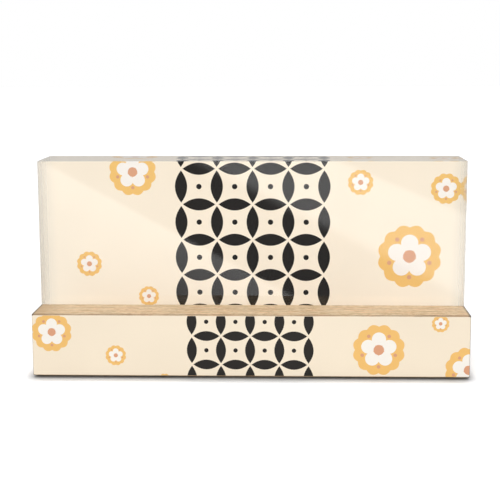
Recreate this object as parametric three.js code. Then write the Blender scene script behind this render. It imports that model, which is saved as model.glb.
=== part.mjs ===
// A table sign: a thick clear acrylic plaque, printed on its back, that stands loose in the groove
// of a solid wooden base. The front of the base carries a second print, and four rubber pads keep
// the wood off the table.
//
// Millimetres. +X runs along the sign, +Y to the back and +Z up. The origin is on the table, under
// the middle of the sign.
import * as THREE from "three";

// Length shared by the plaque and the base, whose ends stand flush.
const SIGN_LENGTH = 200;

// Acrylic plaque, cut from thick sheet, with a small flat arris on every edge.
const PLAQUE_HEIGHT = 80;
const PLAQUE_THICKNESS = 30;
const PLAQUE_ARRIS = 0.3;

// Printed films, one on the back of the plaque and one on the front of the base.
const FILM_THICKNESS = 0.3;
const FILM_CORNER = 0.4;

// Wooden base, machined from one block, with a groove right through from end to end.
const BASE_HEIGHT = 29;
const FRONT_RAIL = 22;
const BACK_RAIL = 22;
const GROOVE_DEPTH = 12;
const GROOVE_CLEARANCE = 0.35;
const GROOVE_FILLET = 0.4;
const GROOVE_MOUTH_ROUND = 0.6;
const TOP_EDGE_ROUND = 0.7;
const BOTTOM_EDGE_ROUND = 0.5;
const BASE_END_ARRIS = 0.3;

// Rubber pads, stuck under the corners of the base.
const PAD_DIAMETER = 10;
const PAD_HEIGHT = 1;
const PAD_RIM_ROUND = 0.4;
const PAD_END_INSET = 14;
const PAD_SIDE_INSET = 11;

// Facets in each rounded edge and round each pad.
const EDGE_FACETS = 5;
const PAD_FACETS = 40;

// Sizes that follow from the ones above.
const loadedThickness = PLAQUE_THICKNESS + FILM_THICKNESS;
const grooveWidth = loadedThickness + 2 * GROOVE_CLEARANCE;
const baseDepth = FRONT_RAIL + grooveWidth + BACK_RAIL;
const overallDepth = FILM_THICKNESS + baseDepth;
const baseFront = -overallDepth / 2 + FILM_THICKNESS;
const baseBack = overallDepth / 2;
const baseTop = PAD_HEIGHT + BASE_HEIGHT;
const grooveFront = baseFront + FRONT_RAIL;
const grooveBack = grooveFront + grooveWidth;
const grooveFloor = baseTop - GROOVE_DEPTH;
const plaqueFront = grooveFront + GROOVE_CLEARANCE;
const plaqueBack = plaqueFront + PLAQUE_THICKNESS;

const materials = {
  acrylic: new THREE.MeshStandardMaterial({
    color: 0xf4f6f4,
    roughness: 0.05,
    metalness: 0,
    transparent: true,
    opacity: 0.35,
  }),
  print: new THREE.MeshStandardMaterial({ color: 0xf9ead3, roughness: 0.45, metalness: 0 }),
  wood: new THREE.MeshStandardMaterial({ color: 0xd8b48a, roughness: 0.6, metalness: 0 }),
  rubber: new THREE.MeshStandardMaterial({ color: 0x2b2b2b, roughness: 0.8, metalness: 0 }),
};

// Closed outline through the corners, given anticlockwise, each rounded by its own radius.
// A radius of 0 leaves the corner sharp.
function roundedOutline(corners) {
  const shape = new THREE.Shape();
  corners.forEach((corner, i) => {
    const here = new THREE.Vector2(corner.x, corner.y);
    const before = corners[(i + corners.length - 1) % corners.length];
    const after = corners[(i + 1) % corners.length];
    const toBefore = new THREE.Vector2(before.x, before.y).sub(here).normalize();
    const toAfter = new THREE.Vector2(after.x, after.y).sub(here).normalize();
    const turn = toBefore.angleTo(toAfter);
    const setback = corner.round / Math.tan(turn / 2);
    const start = here.clone().addScaledVector(toBefore, setback);
    const end = here.clone().addScaledVector(toAfter, setback);
    if (i === 0) shape.moveTo(start.x, start.y);
    else shape.lineTo(start.x, start.y);
    if (corner.round === 0) return;
    const inward = toBefore.clone().add(toAfter).normalize();
    const centre = here.clone().addScaledVector(inward, corner.round / Math.sin(turn / 2));
    const convex = toBefore.cross(toAfter) < 0;
    const startAngle = Math.atan2(start.y - centre.y, start.x - centre.x);
    const endAngle = Math.atan2(end.y - centre.y, end.x - centre.x);
    shape.absarc(centre.x, centre.y, corner.round, startAngle, endAngle, !convex);
  });
  shape.closePath();
  return shape;
}

// Rectangle centred on the origin of its plane, with every corner rounded alike.
function roundedRectangle(width, height, round) {
  const x = width / 2;
  const y = height / 2;
  return roundedOutline([
    { x: -x, y: -y, round },
    { x, y: -y, round },
    { x, y, round },
    { x: -x, y, round },
  ]);
}

// Turns an extrusion upright, so that its outline lies in X and Z and its thickness runs along Y,
// half of it to each side of the origin.
function standUpright(geometry, thickness) {
  geometry.translate(0, 0, -thickness / 2);
  const upright = new THREE.Matrix4().makeBasis(
    new THREE.Vector3(1, 0, 0),
    new THREE.Vector3(0, 0, 1),
    new THREE.Vector3(0, -1, 0),
  );
  return geometry.applyMatrix4(upright);
}

// Clear block with all twelve edges and eight corners cut by the same flat arris.
function plaqueGeometry() {
  const x = SIGN_LENGTH / 2;
  const z = PLAQUE_HEIGHT / 2;
  const cut = PLAQUE_ARRIS;
  const outline = new THREE.Shape([
    new THREE.Vector2(-x + cut, -z),
    new THREE.Vector2(x - cut, -z),
    new THREE.Vector2(x, -z + cut),
    new THREE.Vector2(x, z - cut),
    new THREE.Vector2(x - cut, z),
    new THREE.Vector2(-x + cut, z),
    new THREE.Vector2(-x, z - cut),
    new THREE.Vector2(-x, -z + cut),
  ]);
  const block = new THREE.ExtrudeGeometry(outline, {
    depth: PLAQUE_THICKNESS - 2 * cut,
    bevelThickness: cut,
    bevelSize: cut,
    bevelOffset: -cut,
    bevelSegments: 1,
  });
  block.translate(0, 0, cut);
  return standUpright(block, PLAQUE_THICKNESS);
}

// Thin printed sheet, as large as the flat that it covers.
function filmGeometry(width, height) {
  const film = new THREE.ExtrudeGeometry(roundedRectangle(width, height, FILM_CORNER), {
    depth: FILM_THICKNESS,
    bevelEnabled: false,
    curveSegments: EDGE_FACETS,
  });
  return standUpright(film, FILM_THICKNESS);
}

// Section of the base across its length, drawn in Y and Z: two rails and the floor between them.
function baseSection() {
  return roundedOutline([
    { x: baseFront, y: PAD_HEIGHT, round: BOTTOM_EDGE_ROUND },
    { x: baseBack, y: PAD_HEIGHT, round: BOTTOM_EDGE_ROUND },
    { x: baseBack, y: baseTop, round: TOP_EDGE_ROUND },
    { x: grooveBack, y: baseTop, round: GROOVE_MOUTH_ROUND },
    { x: grooveBack, y: grooveFloor, round: GROOVE_FILLET },
    { x: grooveFront, y: grooveFloor, round: GROOVE_FILLET },
    { x: grooveFront, y: baseTop, round: GROOVE_MOUTH_ROUND },
    { x: baseFront, y: baseTop, round: TOP_EDGE_ROUND },
  ]);
}

// The section run along the sign, with its two end faces eased all round.
function baseGeometry() {
  const block = new THREE.ExtrudeGeometry(baseSection(), {
    depth: SIGN_LENGTH - 2 * BASE_END_ARRIS,
    bevelThickness: BASE_END_ARRIS,
    bevelSize: BASE_END_ARRIS,
    bevelOffset: -BASE_END_ARRIS,
    bevelSegments: 1,
    curveSegments: EDGE_FACETS,
  });
  block.translate(0, 0, BASE_END_ARRIS - SIGN_LENGTH / 2);
  const alongTheSign = new THREE.Matrix4().makeBasis(
    new THREE.Vector3(0, 1, 0),
    new THREE.Vector3(0, 0, 1),
    new THREE.Vector3(1, 0, 0),
  );
  return block.applyMatrix4(alongTheSign);
}

// Round pad with a flat sticky top and a rounded lower rim, standing on the table at z = 0.
function padGeometry() {
  const radius = PAD_DIAMETER / 2;
  const rimCentre = radius - PAD_RIM_ROUND;
  const profile = [new THREE.Vector2(0, 0)];
  for (let i = 0; i <= EDGE_FACETS; i += 1) {
    const angle = (Math.PI / 2) * (i / EDGE_FACETS);
    profile.push(
      new THREE.Vector2(
        rimCentre + PAD_RIM_ROUND * Math.sin(angle),
        PAD_RIM_ROUND * (1 - Math.cos(angle)),
      ),
    );
  }
  profile.push(new THREE.Vector2(radius, PAD_HEIGHT), new THREE.Vector2(0, PAD_HEIGHT));
  return new THREE.LatheGeometry(profile, PAD_FACETS).rotateX(Math.PI / 2);
}

function piece(name, geometry, material, x, y, z) {
  const mesh = new THREE.Mesh(geometry, material);
  mesh.name = name;
  mesh.position.set(x, y, z);
  return mesh;
}

// The plaque and its print, which lift out of the groove together.
function buildPlaque() {
  const plaque = new THREE.Group();
  const middle = grooveFloor + PLAQUE_HEIGHT / 2;
  const filmWidth = SIGN_LENGTH - 2 * PLAQUE_ARRIS;
  const filmHeight = PLAQUE_HEIGHT - 2 * PLAQUE_ARRIS;
  plaque.add(
    piece(
      "acrylic_plaque",
      plaqueGeometry(),
      materials.acrylic,
      0,
      plaqueFront + PLAQUE_THICKNESS / 2,
      middle,
    ),
    piece(
      "plaque_print",
      filmGeometry(filmWidth, filmHeight),
      materials.print,
      0,
      plaqueBack + FILM_THICKNESS / 2,
      middle,
    ),
  );
  return plaque;
}

// The base with its own print and its four pads.
function buildBase() {
  const base = new THREE.Group();
  const filmWidth = SIGN_LENGTH - 2 * BASE_END_ARRIS;
  const filmBottom = PAD_HEIGHT + BOTTOM_EDGE_ROUND;
  const filmTop = baseTop - TOP_EDGE_ROUND;
  base.add(
    piece("wood_base", baseGeometry(), materials.wood, 0, 0, 0),
    piece(
      "base_print",
      filmGeometry(filmWidth, filmTop - filmBottom),
      materials.print,
      0,
      baseFront - FILM_THICKNESS / 2,
      (filmTop + filmBottom) / 2,
    ),
  );
  const padX = SIGN_LENGTH / 2 - PAD_END_INSET;
  const places = [
    { name: "pad_front_left", x: -padX, y: baseFront + PAD_SIDE_INSET },
    { name: "pad_front_right", x: padX, y: baseFront + PAD_SIDE_INSET },
    { name: "pad_back_left", x: -padX, y: baseBack - PAD_SIDE_INSET },
    { name: "pad_back_right", x: padX, y: baseBack - PAD_SIDE_INSET },
  ];
  for (const place of places) {
    base.add(piece(place.name, padGeometry(), materials.rubber, place.x, place.y, 0));
  }
  return base;
}

const sign = new THREE.Group();
sign.add(buildBase(), buildPlaque());

export default sign;
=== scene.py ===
# The looks of a table sign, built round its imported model: a thick clear acrylic block with a print
# on its back, which stands in the groove of a wooden base with a print on its front.
#
# Metres, in the frame of the model: +X to the right along the sign, +Y to the back, +Z up.
# Names that end in MM hold millimetres, and so does the artwork. Colours are linear.
import math

import bmesh
import bpy
from mathutils import Matrix, Vector, geometry, noise

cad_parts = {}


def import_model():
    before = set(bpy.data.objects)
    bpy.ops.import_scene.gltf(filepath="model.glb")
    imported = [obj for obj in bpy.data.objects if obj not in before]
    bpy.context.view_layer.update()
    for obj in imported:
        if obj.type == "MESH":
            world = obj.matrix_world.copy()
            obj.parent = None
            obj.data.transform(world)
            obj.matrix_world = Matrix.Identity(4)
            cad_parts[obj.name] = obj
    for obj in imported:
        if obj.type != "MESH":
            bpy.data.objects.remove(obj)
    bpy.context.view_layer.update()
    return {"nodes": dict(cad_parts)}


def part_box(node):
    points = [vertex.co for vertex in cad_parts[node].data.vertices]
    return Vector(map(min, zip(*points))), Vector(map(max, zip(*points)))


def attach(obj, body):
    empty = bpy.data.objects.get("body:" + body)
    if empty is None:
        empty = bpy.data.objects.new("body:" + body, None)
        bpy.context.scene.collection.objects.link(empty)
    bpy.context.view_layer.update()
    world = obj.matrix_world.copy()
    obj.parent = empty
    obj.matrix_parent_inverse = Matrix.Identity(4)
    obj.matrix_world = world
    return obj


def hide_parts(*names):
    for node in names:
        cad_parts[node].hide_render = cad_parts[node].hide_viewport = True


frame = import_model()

MM = 0.001

# Camera, fitted to the corners of the sign in the photograph. Its angles are in degrees.
FRAME_PIXELS = 500
SENSOR_MM = 36.0
LENS_MM = 84.96
CAMERA_MM = (17.48, -561.75, 143.55)
CAMERA_DOWN = 9.075
CAMERA_TURN = 1.901
CAMERA_ROLL = -0.174
CAMERA_FRAME = (
    Matrix.Translation(Vector(CAMERA_MM) * MM)
    @ Matrix.Rotation(math.radians(CAMERA_TURN), 4, "Z")
    @ Matrix.Rotation(math.radians(90 - CAMERA_DOWN), 4, "X")
    @ Matrix.Rotation(math.radians(CAMERA_ROLL), 4, "Z")
)

# Wooden base, with the rounds and clearance of its section.
GROOVE_CLEARANCE_MM = 0.35
TOP_ROUND_MM = 0.7
MOUTH_ROUND_MM = 0.6
BOTTOM_ROUND_MM = 0.5
GROOVE_FILLET_MM = 0.4
END_ROUND_MM = 0.55
LEAST_ROUND_MM = 0.05
ROUND_FACETS = 6
RING_STEP_MM = 4.0
SMOOTH_ANGLE = 40

# Hand sanding, which changes the upper rounds slowly along the base.
WEAR_MM = 0.12
WEAR_PER_MM = 0.06
WEAR_SEED = (3.1, 7.7)

# Painted shade on the rounded long edges and round the ends, and how far from an end it reaches.
LONG_EDGE_SHADE = 0.6
END_ROUND_SHADE = 1.0
END_SHADE_REACH_MM = 0.9

# Corners of the section that take painted shade: all but the two fillets of the groove.
SHADED_CORNERS = (0, 1, 2, 3, 6, 7)

# Acrylic block, whose arrises are flat cuts. Round the print they are only broken with a scraper.
ARRIS_MM = 0.2
BACK_ARRIS_MM = 0.06
BOND_MM = 0.05

# Printed films. The one on the block reaches this much further than its node on every side.
FILM_CORNER_MM = 0.4
FILM_CORNER_STEPS = 4
FILM_SPREAD_MM = 0.28

# Artwork on the base: its scale, and its point that lies in the middle of the film.
ARTWORK_ON_BASE = 0.77
BASE_MIDDLE_MM = (0, -6)

# Inks. The block takes some of the light from its print, so its inks are the paler ones.
PLAQUE_INKS = {
    "cream": (0.972, 0.892, 0.757),
    "charcoal": (0.012, 0.010, 0.009),
    "gold": (0.89, 0.555, 0.18),
    "white": (0.945, 0.90, 0.845),
    "coral": (0.725, 0.375, 0.228),
}
BASE_INKS = {
    "cream": (0.885, 0.77, 0.607),
    "charcoal": (0.0115, 0.009, 0.007),
    "gold": (0.852, 0.51, 0.161),
    "white": (0.905, 0.86, 0.79),
    "coral": (0.697, 0.343, 0.20),
}
BACKING = (0.86, 0.85, 0.82)
FILM_GLOSS = 0.2

# Unevenness of the inks: features a millimetre of a fine grain and a broad cloud, the range of
# their mean over which an ink grows paler, and how dark it is at the low end of that range.
INK_GRAIN = 3.0
INK_CLOUD = 0.03
INK_RANGE = (0.35, 0.65)
INK_DARKER = 0.955

# Painted shade on the print on the block: greyer near its ends, and its cream ground darker and warmer
# at the top.
END_PAINTED_SHADE = (0.91, 0.925, 0.94)
END_PAINTED_SHADE_MM = 4.0
TOP_PAINTED_SHADE = (0.972, 0.937, 0.897)

# Colours of the wood.
WOOD_LIGHT = (0.75, 0.572, 0.37)
WOOD_MID = (0.625, 0.455, 0.272)
WOOD_ROSY = (0.74, 0.465, 0.275)
WOOD_STRAW = (0.69, 0.56, 0.385)
WOOD_DARK = (0.44, 0.298, 0.162)
WOOD_PORE = (0.36, 0.23, 0.12)
# Colour of the painted shade along the arrises.
ARRIS_SHADE_COLOUR = (0.115, 0.085, 0.06)

# Growth rings of the wood, round a pith that runs along the sign below and behind the base. The
# power makes the late wood of each ring narrow.
PITH_MM = (16.0, -74.0)
RING_WIDTH_MM = 2.6
RING_POWER = 2.5

# How far the grain drifts off its line, and features a millimetre of that drift along each axis.
GRAIN_DRIFT_MM = 14.0
GRAIN_DRIFT_PER_MM = (0.012, 0.03, 0.03)

# Marks in the wood: the size of one along, across and down the board, in millimetres, and the
# detail and roughness of its noise.
WOOD_MARKS = {
    "board": ((30.0, 2.2, 2.2), 3.0, 0.65),
    "hue": ((10.0, 2.4, 2.4), 2.0, 0.65),
    "streak": ((18.0, 1.8, 0.9), 3.0, 0.65),
    "ray_fleck": ((3.2, 1.8, 0.35), 3.0, 0.8),
    "fibre": ((5.0, 0.22, 0.22), 3.0, 0.65),
    "pore": ((3.3, 0.2, 0.2), 3.0, 0.65),
    # The edge_shade mark makes the painted shade on the arrises patchy.
    "edge_shade": ((4.0, 4.0, 4.0), 3.0, 0.65),
}
PORE_EDGE = (0.66, 0.74)
PORE_DEPTH = 0.8

# Layers over the light wood, the lowest first: the mark that a layer follows, the values of that
# mark where the layer starts and where it is strongest, its share there, and its colour.
WOOD_LAYERS = [
    ("board", 0.4, 0.6, 1.0, WOOD_MID),
    ("hue", 0.5, 0.64, 0.9, WOOD_ROSY),
    ("hue", 0.5, 0.36, 0.9, WOOD_STRAW),
    ("late_wood", 0.0, 1.0, 0.5, WOOD_DARK),
    ("streak", 0.5, 0.66, 0.9, WOOD_DARK),
    ("streak", 0.48, 0.3, 0.8, WOOD_LIGHT),
    ("ray_fleck", 0.52, 0.63, 0.8, WOOD_DARK),
    ("ray_fleck", 0.48, 0.37, 0.8, WOOD_LIGHT),
    ("fibre", 0.45, 0.8, 0.4, WOOD_DARK),
    ("pore", *PORE_EDGE, 0.5, WOOD_PORE),
]

# Painted shade darkens the left end of the wood, between two places along it, though less so on its
# end face.
# Both end faces show their rings. They are where the normal points along the sign by this much.
LEFT_END_SHADE_MM = (-100.0, -86.0)
LEFT_END_SHADE_SHARE = 0.85
LEFT_END_SHADE_ON_FACE = 0.25
END_RING_SHARE = 0.7
END_FACE_NORMAL = (0.7, 1.0)

# The painted shade on the arrises is patchy: a range of its mark, and the shares of that shade that
# show there.
PATCHY_SHADE = (0.3, 0.6, 0.65, 1.0)

# Other colours.
ACRYLIC = (0.995, 1.0, 0.997)
ACRYLIC_HAZE = (0.52, 0.59, 0.665)
RUBBER_DARK = (0.012, 0.012, 0.012)
RUBBER_PALE = (0.03, 0.03, 0.03)
WHITE = (1, 1, 1, 1)

# Surfaces: the range that most of a noise lies in, the roughness from its low end to its high end,
# and the depth in millimetres and strength of a bump.
MOST_NOISE = (0.3, 0.7)
INK_ROUGHNESS = (0.32, 0.44)
INK_BUMP = (0.01, 0.25)
WOOD_ROUGHNESS = (0.45, 0.6)
WOOD_GLOSS = 0.2
WOOD_BUMP = (0.05, 0.5)
RUBBER_GRAIN = 2.5
RUBBER_ROUGHNESS = (0.7, 0.85)
RUBBER_BUMP = (0.05, 0.5)

# Acrylic: its refraction, the smears that roughen it a little, and the roughness of each surface.
ACRYLIC_IOR = 1.49
SMEARS_PER_MM = 0.08
SMEAR_RANGE = (0.35, 0.75)
POLISHED_ROUGHNESS = (0.0, 0.012)
MILLED_ROUGHNESS = (0.11, 0.13)
CUT_ROUGHNESS = (0.15, 0.25)

# Milky share of the block's milled ends, at their front and back, and of its cut arrises. Cutter
# marks thin it: their features a millimetre, a range of their noise, and the shares left there.
MILLED_HAZE = (0.93, 0.12)
CUT_HAZE = (0.08, 0.18)
CUT_MARKS_PER_MM = 0.5
CUTTER_MARKS_PER_MM = (0.02, 2.4, 0.02)
CUTTER_MARK_SHARES = (0.35, 0.65, 0.88, 1.0)


# Shader nodes

class Nodes:
    """A material's or world's node tree, with short calls that make a node and link it."""

    def __init__(self, tree):
        self.tree = tree
        tree.nodes.clear()

    def add(self, kind, inputs=None, **settings):
        """A node with its settings, and with a value or a link for each input, by name or number."""
        node = self.tree.nodes.new(kind)
        for name, value in settings.items():
            setattr(node, name, value)
        for name, value in (inputs or {}).items():
            if isinstance(value, bpy.types.NodeSocket):
                self.tree.links.new(value, node.inputs[name])
            else:
                node.inputs[name].default_value = value
        return node

    def math(self, operation, a, b=0.0):
        return self.add("ShaderNodeMath", {0: a, 1: b}, operation=operation).outputs[0]

    def vector_math(self, operation, a, b):
        node = self.add("ShaderNodeVectorMath", {0: a, 1: b}, operation=operation)
        return node.outputs[0]

    def length(self, vector):
        node = self.add("ShaderNodeVectorMath", {0: vector}, operation="LENGTH")
        return node.outputs["Value"]

    def place_mm(self, stretch=(1, 1, 1)):
        """The point on the piece in millimetres, with each axis scaled by stretch."""
        coordinates = self.add("ShaderNodeTexCoord").outputs["Object"]
        return self.vector_math("MULTIPLY", coordinates, [share / MM for share in stretch])

    def split(self, vector):
        return self.add("ShaderNodeSeparateXYZ", {0: vector}).outputs

    def combine(self, x, y, z=0.0):
        return self.add("ShaderNodeCombineXYZ", {0: x, 1: y, 2: z}).outputs[0]

    def attribute(self, name):
        return self.add("ShaderNodeAttribute", attribute_name=name).outputs["Fac"]

    def noise(self, vector, scale, detail=2.0, roughness=0.5):
        """Noise from 0 to 1, with about scale features in each unit of the vector."""
        node = self.add("ShaderNodeTexNoise", {
            "Vector": vector,
            "Scale": scale,
            "Detail": detail,
            "Roughness": roughness,
        })
        return node.outputs["Fac"]

    def between(self, value, low, high, to_low=0.0, to_high=1.0):
        """The value mapped from the range low to high, and held inside the new range."""
        node = self.add("ShaderNodeMapRange", {
            "Value": value,
            "From Min": low,
            "From Max": high,
            "To Min": to_low,
            "To Max": to_high,
        })
        return node.outputs[0]

    def layer(self, below, share, colour, blend="MIX"):
        """The colour laid over the one below, by its share. Sockets 6 and 7 are the node's colours."""
        node = self.add(
            "ShaderNodeMix",
            {0: share, 6: below, 7: rgba(colour)},
            data_type="RGBA",
            blend_type=blend,
            clamp_factor=True,
        )
        return node.outputs[2]

    def bump(self, height, distance_mm, strength):
        node = self.add("ShaderNodeBump", {
            "Height": height,
            "Distance": distance_mm * MM,
            "Strength": strength,
        })
        return node.outputs["Normal"]

    def mix_shader(self, share, a, b):
        return self.add("ShaderNodeMixShader", {0: share, 1: a, 2: b}).outputs[0]

    def surface(self, shader):
        self.add("ShaderNodeOutputMaterial", {"Surface": shader})


def rgba(colour):
    return (*colour, 1.0)


def new_material(name):
    material = bpy.data.materials.new(name)
    material.use_nodes = True
    return material, Nodes(material.node_tree)


# Materials

def ink_material(name, colour, gloss, painted_shades=()):
    """Flat printed ink, with a faint grain. Ink that is bonded to acrylic has no gloss.
    painted_shades are functions that paint shade into the ink by the place on the print."""
    material, nodes = new_material(name)
    place = nodes.place_mm()
    grain = nodes.noise(place, INK_GRAIN, detail=3.0)
    cloud = nodes.noise(place, INK_CLOUD, detail=1.0)
    mean = nodes.math("MULTIPLY", nodes.math("ADD", grain, cloud), 0.5)
    darker = [channel * INK_DARKER for channel in colour]
    ink = nodes.layer(rgba(darker), nodes.between(mean, *INK_RANGE), colour)
    # Painted shade on the ink, by the place on the print.
    for painted_shade in painted_shades:
        ink = painted_shade(nodes, nodes.split(place), ink)
    shader = nodes.add("ShaderNodeBsdfPrincipled", {
        "Base Color": ink,
        "Roughness": nodes.between(grain, *MOST_NOISE, *INK_ROUGHNESS),
        "Specular IOR Level": gloss,
        "Normal": nodes.bump(grain, *INK_BUMP),
    })
    nodes.surface(shader.outputs[0])
    return material


def end_painted_shade(nodes, place, ink):
    """The ink, with painted shade near the two ends of the print on the block."""
    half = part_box("plaque_print")[1].x / MM
    near_end = nodes.between(nodes.math("ABSOLUTE", place["X"]), half - END_PAINTED_SHADE_MM, half)
    return nodes.layer(ink, near_end, END_PAINTED_SHADE, "MULTIPLY")


def top_painted_shade(nodes, place, ink):
    """The ink, with painted shade that grows from the foot of the print on the block to its top, which
    evens out the light that is weaker at its foot.
    """
    low, high = (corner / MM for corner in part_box("plaque_print"))
    height = nodes.between(place["Z"], low.z, high.z)
    return nodes.layer(ink, height, TOP_PAINTED_SHADE, "MULTIPLY")


def ink_set(place, colours, gloss, painted_shades=(), ground_painted_shades=()):
    """One material for each ink. ground_painted_shades are for the cream ground alone."""
    inks = {}
    for name, colour in colours.items():
        own_painted_shades = painted_shades + ground_painted_shades if name == "cream" else painted_shades
        inks[name] = ink_material(f"{name}_ink_on_{place}", colour, gloss, own_painted_shades)
    return inks


def wood_material():
    """Light oiled hardwood, sawn along the sign: growth rings, streaks, flecks, fibres and pores."""
    material, nodes = new_material("oiled_wood")
    place = nodes.split(nodes.place_mm())
    bend = nodes.noise(nodes.place_mm(GRAIN_DRIFT_PER_MM), 1.0)
    drift = nodes.math("MULTIPLY", nodes.math("SUBTRACT", bend, 0.5), GRAIN_DRIFT_MM)
    across = nodes.math("ADD", place["Y"], drift)
    down = nodes.math("ADD", place["Z"], drift)
    drifted = nodes.combine(place["X"], across, down)
    marks = {}
    for kind, (size_mm, detail, roughness) in WOOD_MARKS.items():
        stretched = nodes.vector_math("DIVIDE", drifted, size_mm)
        marks[kind] = nodes.noise(stretched, 1.0, detail, roughness)
    from_pith = nodes.combine(
        nodes.math("SUBTRACT", across, PITH_MM[0]),
        nodes.math("SUBTRACT", down, PITH_MM[1]),
    )
    ring = nodes.math("FRACT", nodes.math("DIVIDE", nodes.length(from_pith), RING_WIDTH_MM))
    marks["late_wood"] = nodes.math("POWER", ring, RING_POWER)

    tone = rgba(WOOD_LIGHT)
    for kind, start, full, share, colour in WOOD_LAYERS:
        tone = nodes.layer(tone, nodes.between(marks[kind], start, full, 0.0, share), colour)

    # Painted shade at the left end of the wood, weaker on its end face.
    left_end_shade = nodes.between(place["X"], *LEFT_END_SHADE_MM, LEFT_END_SHADE_SHARE, 0.0)
    normal = nodes.add("ShaderNodeNewGeometry").outputs["True Normal"]
    along = nodes.math("ABSOLUTE", nodes.split(normal)["X"])
    off_face = nodes.between(along, *END_FACE_NORMAL, 1.0, LEFT_END_SHADE_ON_FACE)
    tone = nodes.layer(tone, nodes.math("MULTIPLY", left_end_shade, off_face), WOOD_DARK)
    on_face = nodes.between(along, *END_FACE_NORMAL, 0.0, END_RING_SHARE)
    tone = nodes.layer(tone, nodes.math("MULTIPLY", marks["late_wood"], on_face), WOOD_DARK)
    # Painted shade along the arrises, in patches.
    patches = nodes.between(marks["edge_shade"], *PATCHY_SHADE)
    arris_shade = nodes.math("MULTIPLY", nodes.attribute("arris_shade"), patches)
    tone = nodes.layer(tone, arris_shade, ARRIS_SHADE_COLOUR)

    pores = nodes.between(marks["pore"], *PORE_EDGE)
    height = nodes.math("SUBTRACT", marks["fibre"], nodes.math("MULTIPLY", pores, PORE_DEPTH))
    shader = nodes.add("ShaderNodeBsdfPrincipled", {
        "Base Color": tone,
        "Roughness": nodes.between(marks["fibre"], *MOST_NOISE, *WOOD_ROUGHNESS),
        "Specular IOR Level": WOOD_GLOSS,
        "Normal": nodes.bump(height, *WOOD_BUMP),
    })
    nodes.surface(shader.outputs[0])
    return material


def rubber_material():
    """Matte black rubber with a fine moulded grain."""
    material, nodes = new_material("black_rubber")
    grain = nodes.noise(nodes.place_mm(), RUBBER_GRAIN, detail=3.0)
    shader = nodes.add("ShaderNodeBsdfPrincipled", {
        "Base Color": nodes.layer(rgba(RUBBER_DARK), grain, RUBBER_PALE),
        "Roughness": nodes.between(grain, *MOST_NOISE, *RUBBER_ROUGHNESS),
        "Normal": nodes.bump(grain, *RUBBER_BUMP),
    })
    nodes.surface(shader.outputs[0])
    return material


def acrylic_material(name, roughness, haze=None):
    """Clear cast acrylic. Light that falls on the print passes straight through it. haze, where
    given, is a function that makes the share of milky surface from the nodes."""
    material, nodes = new_material(name)
    smear = nodes.noise(nodes.place_mm(), SMEARS_PER_MM, detail=3.0)
    inputs = {
        "Base Color": rgba(ACRYLIC),
        "Roughness": nodes.between(smear, *SMEAR_RANGE, *roughness),
        "IOR": ACRYLIC_IOR,
        "Transmission Weight": 1.0,
    }
    if haze:
        inputs["Transmission Weight"] = nodes.math("SUBTRACT", 1.0, haze(nodes))
        inputs["Base Color"] = rgba(ACRYLIC_HAZE)
    glass = nodes.add("ShaderNodeBsdfPrincipled", inputs).outputs[0]
    path = nodes.add("ShaderNodeLightPath").outputs
    clear = nodes.add("ShaderNodeBsdfTransparent", {"Color": WHITE}).outputs[0]
    shader = nodes.mix_shader(path["Is Diffuse Ray"], glass, clear)
    shader = nodes.mix_shader(path["Is Shadow Ray"], shader, clear)
    nodes.surface(shader)
    return material


def milled_haze(nodes):
    """Milky share of the block's ends: upright cutter marks that thin out towards the back."""
    depth = nodes.split(nodes.place_mm())["Y"]
    low, high = (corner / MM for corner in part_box("acrylic_plaque"))
    milky = nodes.between(depth, low.y, high.y, *MILLED_HAZE)
    marks = nodes.noise(nodes.place_mm(CUTTER_MARKS_PER_MM), 1.0, detail=1.0)
    return nodes.math("MULTIPLY", milky, nodes.between(marks, *CUTTER_MARK_SHARES))


def cut_haze(nodes):
    """Milky share of the block's arrises, which a cutter or a scraper leaves patchy."""
    marks = nodes.noise(nodes.place_mm(), CUT_MARKS_PER_MM)
    return nodes.between(marks, *MOST_NOISE, *CUT_HAZE)


# Meshes

def add_object(name, data):
    """An object of the scene from a mesh, a lamp or a camera."""
    made = bpy.data.objects.new(name, data)
    bpy.context.scene.collection.objects.link(made)
    return made


def mesh_object(name, vertices, faces, materials, face_materials=None, smooth_angle=None):
    """A piece from vertices in metres and faces, with one material number a face."""
    mesh = bpy.data.meshes.new(name)
    mesh.from_pydata(vertices, [], faces)
    for material in materials:
        mesh.materials.append(material)
    if face_materials:
        mesh.polygons.foreach_set("material_index", face_materials)
    if smooth_angle:
        mesh.shade_smooth()
        mesh.set_sharp_from_angle(angle=math.radians(smooth_angle))
    mesh.update()
    return add_object(name, mesh)


def arc(centre, radius, start, end, steps):
    """Points along an arc, angles in degrees, both ends included."""
    points = []
    for i in range(steps + 1):
        angle = math.radians(start + (end - start) * i / steps)
        points.append((centre[0] + radius * math.cos(angle), centre[1] + radius * math.sin(angle)))
    return points


def circle(centre, radius, count):
    """That many points, evenly round a circle."""
    return arc(centre, radius, 0, 360 - 360 / count, count - 1)


def rounded_rectangle(low, high, corner, steps):
    """Anticlockwise outline of a rectangle between two corners, rounded alike."""
    (x0, z0), (x1, z1) = low, high
    return (
        arc((x0 + corner, z0 + corner), corner, 180, 270, steps)
        + arc((x1 - corner, z0 + corner), corner, 270, 360, steps)
        + arc((x1 - corner, z1 - corner), corner, 0, 90, steps)
        + arc((x0 + corner, z1 - corner), corner, 90, 180, steps)
    )


def tube_faces(rings, count):
    """Faces of a tube through rings of count points each, with a face on both ends."""
    faces = [list(range(count - 1, -1, -1))]
    for ring in range(rings - 1):
        a = ring * count
        b = a + count
        for i in range(count):
            j = (i + 1) % count
            faces.append([a + i, a + j, b + j, b + i])
    faces.append(list(range((rings - 1) * count, rings * count)))
    return faces


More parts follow.
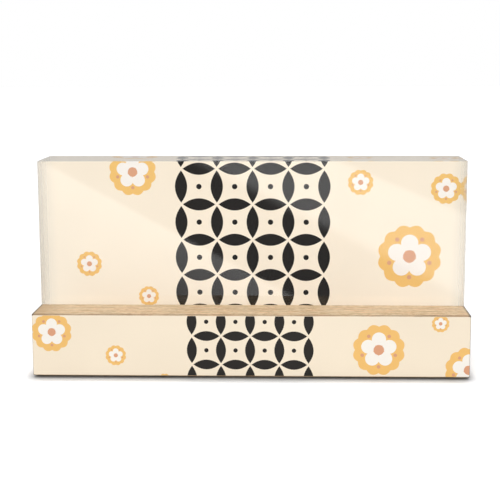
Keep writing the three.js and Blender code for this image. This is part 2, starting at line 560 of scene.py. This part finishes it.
def outer_loop(faces):
    """Vertices round the outside of a flat sheet of faces, in order."""
    sides = {side for face in faces for side in zip(face, face[1:] + face[:1])}
    following = {a: b for a, b in sides if (b, a) not in sides}
    loop = [min(following)]
    while following[loop[-1]] != loop[0]:
        loop.append(following[loop[-1]])
    return loop


def clean_loose(mesh):
    """Removes the vertices that no face uses."""
    work = bmesh.new()
    work.from_mesh(mesh)
    loose = [vertex for vertex in work.verts if not vertex.link_faces]
    bmesh.ops.delete(work, geom=loose, context="VERTS")
    work.to_mesh(mesh)
    work.free()


# Artwork: a block of petal tiles in the middle and blooms around it

TILE_MM = 17.3
TILE_COLUMNS = 4
TILE_ROWS = 6
TILE_STUD_MM = 1.3
TILE_STUD_POINTS = 24
PETAL_GAP_MM = 0.8
PETAL_BULGE = 0.19
PETAL_STEPS = 10

# Middle of each bloom on the artwork, and its radius.
BLOOMS_MM = [
    (76, -8, 15.5),
    (-58, 33, 11.5),
    (-80, -12, 6.2),
    (52, 28, 6.2),
    (-51, -28, 5.0),
    (-118, 2, 12.0),
    (112, 8, 5.2),
    (129, -20, 14.0),
    (93, 25, 7.5),
]
BLOOM_LOBES = 12
BLOOM_LOBE_STEPS = 8
BLOOM_LOBE_DEPTH = 0.09
BLOOM_PETALS = 5

# Share of a turn, anticlockwise from the right, at which the first petal of a bloom stands.
FIRST_PETAL = 0.25

# Round parts of a bloom: how far out they stand and their radius, as shares of the bloom's own
# radius, and their number of points.
BLOOM_PETAL = (0.42, 0.27, 36)
BLOOM_SEED = (0.66, 0.07, 18)
BLOOM_HEART = (0.0, 0.2, 24)


def petal(start, end):
    """Pointed oval between two points."""
    run = Vector(end) - Vector(start)
    side = Vector((-run.y, run.x))
    there = []
    back = []
    for i in range(PETAL_STEPS + 1):
        along = i / PETAL_STEPS
        half = PETAL_BULGE * 4 * along * (1 - along)
        spot = Vector(start) + run * along
        there.append(spot - side * half)
        back.append(spot + side * half)
    return [tuple(point) for point in there + back[-2:0:-1]]


def petal_tiles():
    """The dark block: a petal along every side of every tile, and a stud in each tile."""
    outlines = []
    left = -TILE_MM * TILE_COLUMNS / 2
    bottom = -TILE_MM * TILE_ROWS / 2
    near = PETAL_GAP_MM
    far = TILE_MM - PETAL_GAP_MM
    for column in range(TILE_COLUMNS + 1):
        for row in range(TILE_ROWS + 1):
            x = left + column * TILE_MM
            z = bottom + row * TILE_MM
            if column < TILE_COLUMNS:
                outlines.append(petal((x + near, z), (x + far, z)))
            if row < TILE_ROWS:
                outlines.append(petal((x, z + near), (x, z + far)))
            if column < TILE_COLUMNS and row < TILE_ROWS:
                middle = (x + TILE_MM / 2, z + TILE_MM / 2)
                outlines.append(circle(middle, TILE_STUD_MM, TILE_STUD_POINTS))
    return [("charcoal", outline) for outline in outlines]


def bloom(x, z, radius):
    """Scalloped gold disc with a white flower, coral seeds between its petals and a coral heart."""

    def spot(turn, part):
        """A round part of the bloom, at a share of a whole turn."""
        out, size, count = part
        angle = math.tau * turn
        middle = (x + math.cos(angle) * radius * out, z + math.sin(angle) * radius * out)
        return circle(middle, radius * size, count)

    outline = []
    steps = BLOOM_LOBES * BLOOM_LOBE_STEPS
    for i in range(steps):
        angle = math.tau * i / steps
        lobe = abs(math.sin(angle * BLOOM_LOBES / 2))
        reach = radius * (1 - BLOOM_LOBE_DEPTH + BLOOM_LOBE_DEPTH * lobe)
        outline.append((x + reach * math.cos(angle), z + reach * math.sin(angle)))
    shapes = [("gold", outline)]
    for i in range(BLOOM_PETALS):
        shapes.append(("white", spot(i / BLOOM_PETALS + FIRST_PETAL, BLOOM_PETAL)))
    for i in range(BLOOM_PETALS):
        shapes.append(("coral", spot((i + 0.5) / BLOOM_PETALS + FIRST_PETAL, BLOOM_SEED)))
    shapes.append(("coral", spot(0.0, BLOOM_HEART)))
    return shapes


def artwork():
    shapes = petal_tiles()
    for place in BLOOMS_MM:
        shapes += bloom(*place)
    return shapes


# Films

# Output of the triangulation: only what lies inside the outlines. Points this near are merged.
INSIDE_ONLY = 1
MERGE_MM = 1e-5


def film_shapes(low, high, middle_mm, scale):
    """The film's cream border, and each shape of the artwork that reaches the film, with its ink.
    middle_mm is the point of the artwork that lies in the film's middle."""
    border = rounded_rectangle((low.x, low.z), (high.x, high.z), FILM_CORNER_MM, FILM_CORNER_STEPS)
    shapes = [("cream", border)]
    middle = Vector(((low.x + high.x) / 2, (low.z + high.z) / 2)) - Vector(middle_mm) * scale
    for ink, points in artwork():
        placed = [tuple(middle + Vector(point) * scale) for point in points]
        if any(low.x < x < high.x and low.z < z < high.z for x, z in placed):
            shapes.append((ink, placed))
    return shapes


def divided_face(shapes):
    """Points and triangles of the first shape, divided along all the others, and the ink of the
    uppermost shape on each triangle."""
    points = []
    rings = []
    for _, outline in shapes:
        rings.append(list(range(len(points), len(points) + len(outline))))
        points += [Vector(point) for point in outline]
    made = geometry.delaunay_2d_cdt(points, [], rings, INSIDE_ONLY, MERGE_MM)
    flat, triangles, owners = made[0], made[2], made[5]
    faces = []
    inks = []
    for triangle, shape_numbers in zip(triangles, owners):
        if 0 in shape_numbers:
            faces.append(list(triangle))
            inks.append(shapes[max(shape_numbers)][0])
    return flat, faces, inks


def film_piece(name, node, front_mm, middle_mm, scale, spread_mm, inks, backing):
    """A printed film. Its front face is divided along the outlines of the artwork, which is drawn
    at scale, and each part of it has its own ink."""
    low, high = (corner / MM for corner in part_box(node))
    spread = Vector((spread_mm, 0, spread_mm))
    low, high = low - spread, high + spread
    flat, faces, face_inks = divided_face(film_shapes(low, high, middle_mm, scale))
    count = len(flat)
    loop = outer_loop(faces)
    walls = [[b, a, a + count, b + count] for a, b in zip(loop, loop[1:] + loop[:1])]
    back = [[a + count for a in reversed(loop)]]
    names = list(inks)
    face_materials = [names.index(ink) for ink in face_inks]
    face_materials += [len(names)] * (len(walls) + len(back))
    vertices = [(p.x * MM, depth * MM, p.y * MM) for depth in (front_mm, high.y) for p in flat]
    materials = [inks[ink] for ink in names] + [backing]
    piece = mesh_object(name, vertices, faces + walls + back, materials, face_materials)
    clean_loose(piece.data)
    return piece


# Wooden base

def base_section(low, high, groove, inset, rounds):
    """Section of the base, drawn in Y and Z, drawn in on every side by inset."""
    front, bottom = low[0] + inset, low[1] + inset
    back, top = high[0] - inset, high[1] - inset
    groove_front, groove_back, floor_z = groove[0] - inset, groove[1] + inset, groove[2] - inset
    foot, lip, mouth = (max(value - inset, LEAST_ROUND_MM) for value in rounds)
    fillet = GROOVE_FILLET_MM + inset
    n = ROUND_FACETS
    return (
        arc((front + foot, bottom + foot), foot, 180, 270, n)
        + arc((back - foot, bottom + foot), foot, 270, 360, n)
        + arc((back - lip, top - lip), lip, 0, 90, n)
        + arc((groove_back + mouth, top - mouth), mouth, 90, 180, n)
        + arc((groove_back - fillet, floor_z + fillet), fillet, 360, 270, n)
        + arc((groove_front + fillet, floor_z + fillet), fillet, 270, 180, n)
        + arc((groove_front - mouth, top - mouth), mouth, 0, 90, n)
        + arc((front + lip, top - lip), lip, 90, 180, n)
    )


def base_stations(half):
    """Places along the base, each with the inset of its section and the painted shade of its rounds:
    a rounded end, plain rings and the other end."""
    end_round = []
    for i in range(ROUND_FACETS + 1):
        angle = math.radians(90 * i / ROUND_FACETS)
        x = -half + END_ROUND_MM * (1 - math.cos(angle))
        inset = END_ROUND_MM * (1 - math.sin(angle))
        end_round.append((x, inset, END_ROUND_SHADE if i else 0.0))
    clean = half - END_ROUND_MM - END_SHADE_REACH_MM
    steps = round(2 * clean / RING_STEP_MM)
    middle = [(clean * (2 * i / steps - 1), 0.0, 0.0) for i in range(steps + 1)]
    return end_round + middle + [(-x, inset, edge_shade) for x, inset, edge_shade in reversed(end_round)]


def section_shade(count):
    """Painted shade of each point of the section, strongest in the middle of a shaded corner."""
    edge_shade = []
    for i in range(count):
        corner, step = divmod(i, ROUND_FACETS + 1)
        on_round = math.sin(math.pi * step / ROUND_FACETS)
        edge_shade.append(LONG_EDGE_SHADE * on_round if corner in SHADED_CORNERS else 0.0)
    return edge_shade


def wood_piece(material):
    """The wooden base: its section run along the sign, with eased ends and hand-sanded arrises."""
    low, high = (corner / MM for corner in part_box("wood_base"))
    plaque_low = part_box("acrylic_plaque")[0] / MM
    film_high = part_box("plaque_print")[1] / MM
    groove = (plaque_low.y - GROOVE_CLEARANCE_MM, film_high.y + GROOVE_CLEARANCE_MM, plaque_low.z)
    stations = base_stations(high.x)
    vertices = []
    for x, inset, _ in stations:
        ease = WEAR_MM * noise.noise(Vector((x * WEAR_PER_MM, *WEAR_SEED)))
        rounds = (BOTTOM_ROUND_MM, TOP_ROUND_MM + ease, MOUTH_ROUND_MM + ease)
        outline = base_section((low.y, low.z), (high.y, high.z), groove, inset, rounds)
        vertices += [(x * MM, y * MM, z * MM) for y, z in outline]
    count = len(outline)
    faces = tube_faces(len(stations), count)
    piece = mesh_object("wooden_base", vertices, faces, [material], smooth_angle=SMOOTH_ANGLE)
    # Painted shade on the arrises and round the ends, held on the points.
    across = section_shade(count)
    arris_shade = piece.data.attributes.new("arris_shade", "FLOAT", "POINT")
    arris_shade.data.foreach_set("value", [max(edge_shade, share) for _, _, edge_shade in stations for share in across])
    return piece


# Acrylic block

# Material numbers on the block. A face is square to the block where its normal is this near an axis.
POLISHED, MILLED, CUT = range(3)
SQUARE = 0.99


def block_surface(normal):
    """Material number of a face of the block: its two ends are milled, and the rest polished."""
    if max(abs(value) for value in normal) < SQUARE:
        return CUT
    return MILLED if abs(normal.x) > SQUARE else POLISHED


def acrylic_piece(materials):
    """The block, with a flat arris on every edge."""
    low, high = (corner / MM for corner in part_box("acrylic_plaque"))
    vertices = []
    for x, dx in ((low.x, -1), (high.x, 1)):
        for y, dy, cut in ((low.y, -1, ARRIS_MM), (high.y, 1, BACK_ARRIS_MM)):
            for z, dz in ((low.z, -1), (high.z, 1)):
                vertices += [
                    (x, y - dy * cut, z - dz * cut),
                    (x - dx * cut, y, z - dz * cut),
                    (x - dx * cut, y - dy * cut, z),
                ]
    work = bmesh.new()
    corners = [work.verts.new(Vector(vertex) * MM) for vertex in vertices]
    bmesh.ops.convex_hull(work, input=corners)
    bmesh.ops.dissolve_limit(work, angle_limit=math.radians(1), verts=work.verts, edges=work.edges)
    for face in work.faces:
        face.material_index = block_surface(face.normal)
    mesh = bpy.data.meshes.new("acrylic_block")
    work.to_mesh(mesh)
    work.free()
    for material in materials:
        mesh.materials.append(material)
    return add_object("acrylic_block", mesh)


# Sign

def build_sign():
    # The inks on the block get painted shade near its ends, and on the cream ground towards the top.
    plaque_inks = ink_set("plaque", PLAQUE_INKS, 0.0, (end_painted_shade,), (top_painted_shade,))
    base_inks = ink_set("base", BASE_INKS, FILM_GLOSS)
    backing = ink_material("film_backing", BACKING, FILM_GLOSS)
    base = wood_piece(wood_material())
    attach(base, "base")
    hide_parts("wood_base")

    base_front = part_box("base_print")[0].y / MM
    base_film = film_piece("base_film", "base_print", base_front, BASE_MIDDLE_MM, ARTWORK_ON_BASE,
                           0.0, base_inks, backing)
    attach(base_film, "base")
    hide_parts("base_print")

    block_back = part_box("acrylic_plaque")[1].y / MM
    plaque_film = film_piece("plaque_film", "plaque_print", block_back - BOND_MM, (0, 0), 1.0,
                             FILM_SPREAD_MM, plaque_inks, backing)
    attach(plaque_film, "plaque")
    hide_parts("plaque_print")

    block = acrylic_piece([
        acrylic_material("polished_acrylic", POLISHED_ROUGHNESS),
        acrylic_material("milled_acrylic", MILLED_ROUGHNESS, milled_haze),
        acrylic_material("cut_arris", CUT_ROUGHNESS, cut_haze),
    ])
    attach(block, "plaque")
    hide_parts("acrylic_plaque")

    rubber = rubber_material()
    for name, node in frame["nodes"].items():
        if name.startswith("pad_"):
            node.data.materials.clear()
            node.data.materials.append(rubber)


# Studio

# Broad, far lamps: height above the horizon, bearing from the front and spread, in degrees.
FRONT_LAMP = {"energy": 1.7, "up": 22.0, "turn": -8.0, "spread": 40.0}
TOP_LAMP = {"energy": 1.05, "up": 80.0, "turn": 176.0, "spread": 16.0}
AMBIENT = 0.55

# Floor, in metres, with the colour that it lights the sign with and the one that it shows.
FLOOR_SIZE = 12.0
FLOOR_COLOUR = (0.55, 0.55, 0.55)
FLOOR_SHOWN = (1.1, 1.11, 1.13)

# Contact shadow on the floor. It reaches further in front of the sign than beside and behind it.
FLOOR_DARKEST = (0.33, 0.33, 0.33)
SHADOW_FRONT_MM = 9.0
SHADOW_ROUND_MM = 5.5
SHADOW_POWER = 1.4
SHADOW_END_MM = (101.0, 107.0)
SHADOW_EDGE_MM = 1.0

# Reflections in the front of the plaque, placed by pixels of the photograph. Each edge is a
# pixel on it and its fall, in pixels down for each pixel to the right.
FIRST_GLARE_TOP = (50, 165, 0.537)
FIRST_GLARE_FADE = 100
SECOND_GLARE_TOP = (340, 162, 0.42)
SECOND_GLARE_FOOT = (235, 180, 0.51)
GLARE_EDGE = 4
GLARE_GREY = 0.4
GLARE_BRIGHT = 1.9
CARD_LEFT, CARD_RIGHT = -60, 560
CARD_TOP, CARD_BOTTOM = 136, 340
CARD_FADE_SIDE, CARD_FADE_END = 60, 16
CARD_STEP = 4
CARD_HEIGHT = 0.001

# Grey card far behind the sign, which only reflections show. It fades out over these shares of
# its width, at each side, and of its height, at its top.
BACK_CARD_AWAY = 1.5
BACK_CARD_HALF = 1.4
BACK_CARD_TOP = 0.42
BACK_CARD_GREY = 0.47
BACK_CARD_FADE_SIDE, BACK_CARD_FADE_TOP = 0.2, 0.3
BACK_CARD_STEPS = 12


def camera():
    data = bpy.data.cameras.new("camera")
    data.sensor_width = SENSOR_MM
    data.lens = LENS_MM
    data.clip_start = 0.01
    data.clip_end = 50.0
    eye = add_object("camera", data)
    eye.matrix_world = CAMERA_FRAME
    bpy.context.scene.camera = eye


def sun(name, energy, up, turn, spread):
    data = bpy.data.lights.new(name, "SUN")
    data.energy = energy
    data.angle = math.radians(spread)
    lamp = add_object(name, data)
    lamp.rotation_euler = (math.radians(90 - up), 0, math.radians(turn))


def seen_share(nodes):
    """1 for a ray that shows the background in the picture, in gloss or through glass."""
    path = nodes.add("ShaderNodeLightPath").outputs
    seen = nodes.math("MAXIMUM", path["Is Camera Ray"], path["Is Glossy Ray"])
    return nodes.math("MAXIMUM", seen, path["Is Transmission Ray"])


def world():
    made = bpy.data.worlds.new("studio")
    made.use_nodes = True
    nodes = Nodes(made.node_tree)
    soft = nodes.add("ShaderNodeBackground", {"Color": WHITE, "Strength": AMBIENT})
    white = nodes.add("ShaderNodeBackground", {"Color": WHITE, "Strength": 1.0})
    shader = nodes.mix_shader(seen_share(nodes), soft.outputs[0], white.outputs[0])
    nodes.add("ShaderNodeOutputWorld", {"Surface": shader})
    bpy.context.scene.world = made


def floor():
    material, nodes = new_material("pale_floor")

    def open_share(reach_mm):
        """How open the floor is to the sky within a short reach, from 0 to 1."""
        near = nodes.add("ShaderNodeAmbientOcclusion", {"Distance": reach_mm * MM}, samples=16)
        return nodes.math("POWER", near.outputs["AO"], SHADOW_POWER)

    place = nodes.split(nodes.place_mm())
    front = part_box("wood_base")[0].y / MM
    ahead = nodes.between(place["Y"], front + SHADOW_EDGE_MM, front - SHADOW_EDGE_MM)
    between_ends = nodes.between(nodes.math("ABSOLUTE", place["X"]), *SHADOW_END_MM, 1.0, 0.0)
    in_front = nodes.math("MULTIPLY", ahead, between_ends)
    closed = nodes.math("SUBTRACT", 1.0, open_share(SHADOW_FRONT_MM))
    front_open = nodes.math("SUBTRACT", 1.0, nodes.math("MULTIPLY", in_front, closed))
    is_open = nodes.math("MINIMUM", front_open, open_share(SHADOW_ROUND_MM))
    shade = nodes.layer(rgba(FLOOR_DARKEST), is_open, FLOOR_SHOWN)
    shown = nodes.add("ShaderNodeBsdfDiffuse", {"Color": shade})
    plain = nodes.add("ShaderNodeBsdfDiffuse", {"Color": rgba(FLOOR_COLOUR)})
    nodes.surface(nodes.mix_shader(seen_share(nodes), plain.outputs[0], shown.outputs[0]))
    reach = FLOOR_SIZE / 2
    corners = [(-reach, -reach, 0), (reach, -reach, 0), (reach, reach, 0), (-reach, reach, 0)]
    sheet = mesh_object("floor", corners, [[0, 1, 2, 3]], [material])


def smooth_step(value, low, high):
    """0 below low, 1 above high, and a smooth rise between them."""
    share = min(max((value - low) / (high - low), 0.0), 1.0)
    return share * share * (3 - 2 * share)


def pixel_ray(u, v):
    """Direction from the camera through a pixel of the photograph."""
    focal = LENS_MM / SENSOR_MM * FRAME_PIXELS
    middle = FRAME_PIXELS / 2
    return CAMERA_FRAME.to_3x3() @ Vector((u - middle, middle - v, -focal)).normalized()


def mirrored_on_floor(u, v):
    """Where the ray of a pixel lands in front of the sign, once the plaque's front reflects it."""
    eye = Vector(CAMERA_MM) * MM
    ray = pixel_ray(u, v)
    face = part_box("acrylic_plaque")[0].y
    touch = eye + ray * ((face - eye.y) / ray.y)
    ray.y = -ray.y
    return touch + ray * ((CARD_HEIGHT - touch.z) / ray.z)


def below(u, v, edge):
    """How far a pixel lies below a slanted edge, in pixels."""
    return v - (edge[1] + edge[2] * (u - edge[0]))


def glare(u, v):
    """Brightness of the card that a pixel reflects: two soft slanting bands on grey."""
    first = below(u, v, FIRST_GLARE_TOP)
    first = smooth_step(first, -GLARE_EDGE / 2, GLARE_EDGE) * max(1 - first / FIRST_GLARE_FADE, 0)
    second = smooth_step(below(u, v, SECOND_GLARE_TOP), -GLARE_EDGE, GLARE_EDGE)
    second *= smooth_step(-below(u, v, SECOND_GLARE_FOOT), -GLARE_EDGE * 2, GLARE_EDGE * 2)
    inside = smooth_step(min(u - CARD_LEFT, CARD_RIGHT - u), 0, CARD_FADE_SIDE)
    inside *= smooth_step(min(v - CARD_TOP, CARD_BOTTOM - v), 0, CARD_FADE_END)
    drawn = GLARE_GREY + GLARE_BRIGHT * min(first + second, 1)
    return 1 + (drawn - 1) * inside


def card_material(name):
    """Plain light, as bright as each point's own glow."""
    material, nodes = new_material(name)
    emission = nodes.add("ShaderNodeEmission", {"Strength": nodes.attribute("glow")})
    nodes.surface(emission.outputs[0])
    return material


def card(name, columns, rows, place, glow):
    """A sheet through place(column, row) that only reflections show, with glow(column, row)."""
    vertices = [place(u, v) for v in rows for u in columns]
    width = len(columns)
    faces = []
    for j in range(len(rows) - 1):
        for i in range(width - 1):
            a = j * width + i
            faces.append([a, a + 1, a + 1 + width, a + width])
    sheet = mesh_object(name, vertices, faces, [card_material(name)])
    values = sheet.data.attributes.new("glow", "FLOAT", "POINT")
    values.data.foreach_set("value", [glow(u, v) for v in rows for u in columns])
    sheet.visible_camera = False
    sheet.visible_diffuse = False
    sheet.visible_transmission = False
    sheet.visible_shadow = False


def back_place(i, j):
    """A point of the back card, from shares of its width and height."""
    return (BACK_CARD_HALF * (2 * i - 1), BACK_CARD_AWAY, BACK_CARD_TOP * j)


def back_glow(i, j):
    """Brightness of the back card there: grey that fades to white at its sides and top."""
    inside = smooth_step(min(i, 1 - i), 0, BACK_CARD_FADE_SIDE)
    inside *= smooth_step(1 - j, 0, BACK_CARD_FADE_TOP)
    return 1 + (BACK_CARD_GREY - 1) * inside


def cards():
    columns = list(range(CARD_LEFT, CARD_RIGHT + 1, CARD_STEP))
    rows = list(range(CARD_TOP, CARD_BOTTOM + 1, CARD_STEP))
    card("glare_card", columns, rows, mirrored_on_floor, glare)
    shares = [i / BACK_CARD_STEPS for i in range(BACK_CARD_STEPS + 1)]
    card("back_card", shares, shares, back_place, back_glow)


def build_studio():
    camera()
    world()
    floor()
    cards()
    sun("front_lamp", **FRONT_LAMP)
    sun("top_lamp", **TOP_LAMP)
    bpy.context.scene.view_settings.view_transform = "Standard"


build_studio()
build_sign()
